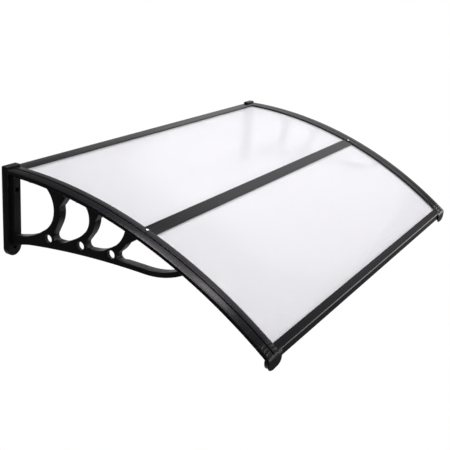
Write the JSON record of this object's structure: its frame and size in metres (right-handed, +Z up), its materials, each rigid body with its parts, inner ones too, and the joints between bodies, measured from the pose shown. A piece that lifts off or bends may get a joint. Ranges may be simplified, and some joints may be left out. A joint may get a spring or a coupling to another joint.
{
  "type": "door canopy",
  "caption": "Curved wall canopy of milky twin-wall sheets in a dark frame of bars and side rails, carried by moulded scroll brackets.",
  "frame": {"origin": "on the wall plane, in the middle of the wall bar's back, level with the upper skin of the sheet where it leaves the wall bar", "axes": "+Y into the wall, -Y out over the door, +X along the wall to the right as seen facing the wall, +Z up"},
  "size_m": [1.226, 0.7637, 0.2786],
  "materials": {
    "moulded_black": "smooth black moulded plastic, satin",
    "coated_aluminium": "extruded, dark grey-brown powder coat, satin",
    "milky_polycarbonate": "milky twin-wall sheet, smooth and translucent",
    "bright_steel": "bright plated screws"
  },
  "bodies": {
    "root": {"back_bar": "coated_aluminium", "back_bar_screw_left": "bright_steel", "back_bar_screw_right": "bright_steel", "bracket_left": "moulded_black", "bracket_right": "moulded_black", "bracket_screw_left_1": "bright_steel", "bracket_screw_left_2": "bright_steel", "bracket_screw_left_3": "bright_steel", "bracket_screw_right_1": "bright_steel", "bracket_screw_right_2": "bright_steel", "bracket_screw_right_3": "bright_steel", "cap_screw_left": "bright_steel", "cap_screw_right": "bright_steel", "front_bar": "coated_aluminium", "front_bar_screw_left": "bright_steel", "front_bar_screw_right": "bright_steel", "front_cap_left": "moulded_black", "front_cap_right": "moulded_black", "horn_screw_left": "bright_steel", "horn_screw_right": "bright_steel", "middle_bar": "coated_aluminium", "middle_bar_screw_left": "bright_steel", "middle_bar_screw_right": "bright_steel", "sheet_front": "milky_polycarbonate", "sheet_rear": "milky_polycarbonate", "side_rail_left": "coated_aluminium", "side_rail_right": "coated_aluminium"}
  },
  "joints": []
}
